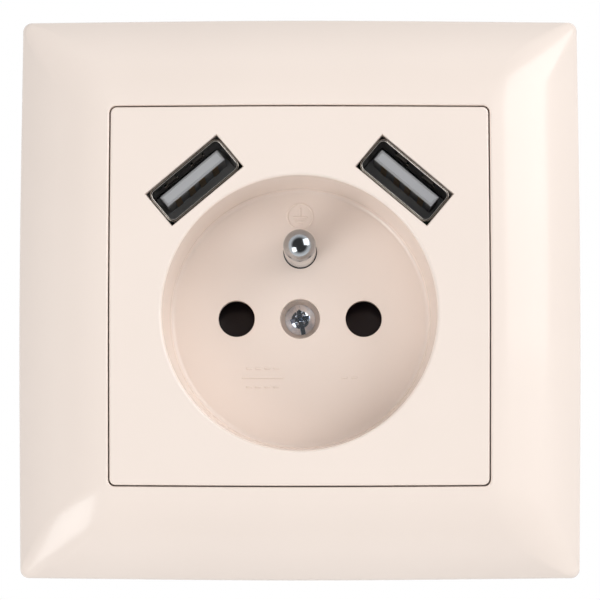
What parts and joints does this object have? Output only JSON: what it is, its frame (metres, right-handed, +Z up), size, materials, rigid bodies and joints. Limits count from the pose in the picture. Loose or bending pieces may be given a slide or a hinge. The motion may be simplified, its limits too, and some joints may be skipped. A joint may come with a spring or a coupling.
{
  "type": "flush wall socket with usb ports",
  "caption": "Square flush wall socket with a domed frame, a round plug recess with an earth pin and shutter, angled USB-A ports and a charger behind.",
  "frame": {"origin": "middle of the socket in the plane of the wall, between the four screw slots", "axes": "-Y out of the wall to the user, +X to the user's right, +Z up"},
  "size_m": [0.0828, 0.0444, 0.0828],
  "materials": {
    "cream_plastic": "moulded, glossy, cream",
    "white_plastic": "moulded, satin, off white",
    "dark_plastic": "moulded, satin, dark brown",
    "grey_plastic": "moulded, satin, grey",
    "port_plastic": "moulded, satin, light grey",
    "plated_steel": "zinc plated",
    "shell_steel": "bright, nickel plated",
    "nickel": "polished nickel plate",
    "brass": "pressed sheet, plain",
    "gold_contact": "thin gold plate",
    "spring_steel": "drawn wire",
    "board_green": "solder mask",
    "ferrite": "sintered, dark grey",
    "tape_yellow": "polyester tape",
    "can_aluminium": "drawn can",
    "chip_black": "moulded epoxy"
  },
  "bodies": {
    "socket": {"cover_frame": "cream_plastic", "centre_plate": "cream_plastic", "centre_screw": "plated_steel", "earth_pin": "nickel", "shutter_spring": "spring_steel", "mounting_yoke": "plated_steel", "socket_base": "grey_plastic", "rear_cover": "grey_plastic", "rear_screws": "plated_steel", "line_contact": "brass", "neutral_contact": "brass", "line_feed_strip": "brass", "neutral_feed_strip": "brass", "earth_strap": "brass", "usb_board": "board_green", "charger_housing": "white_plastic", "charger_board": "board_green", "board_link_pins": "brass", "transformer_core": "ferrite", "transformer_winding": "tape_yellow", "bulk_capacitor": "can_aluminium", "output_capacitor": "can_aluminium", "charger_chip": "chip_black", "usb_shell_left": "shell_steel", "usb_shell_right": "shell_steel", "usb_insulator_left": "port_plastic", "usb_insulator_right": "port_plastic", "usb_contacts_left": "gold_contact", "usb_contacts_right": "gold_contact"},
    "shutter": {"pin_shutter": "dark_plastic"},
    "line_screw": {"line_terminal_screw": "plated_steel"},
    "line_cage": {"line_terminal_cage": "brass"},
    "earth_screw": {"earth_terminal_screw": "plated_steel"},
    "earth_cage": {"earth_terminal_cage": "brass"},
    "neutral_screw": {"neutral_terminal_screw": "plated_steel"},
    "neutral_cage": {"neutral_terminal_cage": "brass"}
  },
  "joints": [
    {"name": "shutter_slide", "type": "slide", "parent": "socket", "child": "shutter", "axis": [0, 0, -1], "range_m": [0, 0.0056], "stiffness_N_per_m": 100, "springref_m": -0.004, "deforming": ["shutter_spring"]},
    {"name": "line_screw_turn", "type": "hinge", "parent": "socket", "child": "line_screw", "pos_m": [-0.009, 0.018, 0], "axis": [0, 0, 1], "range_deg": [0, 1728]},
    {"name": "line_cage_slide", "type": "slide", "parent": "socket", "child": "line_cage", "axis": [0, 0, -1], "range_m": [0, 0.0024]},
    {"name": "earth_screw_turn", "type": "hinge", "parent": "socket", "child": "earth_screw", "pos_m": [0, 0.018, 0], "axis": [0, 0, 1], "range_deg": [0, 1728]},
    {"name": "earth_cage_slide", "type": "slide", "parent": "socket", "child": "earth_cage", "axis": [0, 0, -1], "range_m": [0, 0.0024]},
    {"name": "neutral_screw_turn", "type": "hinge", "parent": "socket", "child": "neutral_screw", "pos_m": [0.009, 0.018, 0], "axis": [0, 0, 1], "range_deg": [0, 1728]},
    {"name": "neutral_cage_slide", "type": "slide", "parent": "socket", "child": "neutral_cage", "axis": [0, 0, -1], "range_m": [0, 0.0024]}
  ],
  "couplings": [
    {"joint": "line_screw_turn", "follows": "line_cage_slide", "rad_per_m": 12566},
    {"joint": "earth_screw_turn", "follows": "earth_cage_slide", "rad_per_m": 12566},
    {"joint": "neutral_screw_turn", "follows": "neutral_cage_slide", "rad_per_m": 12566}
  ]
}
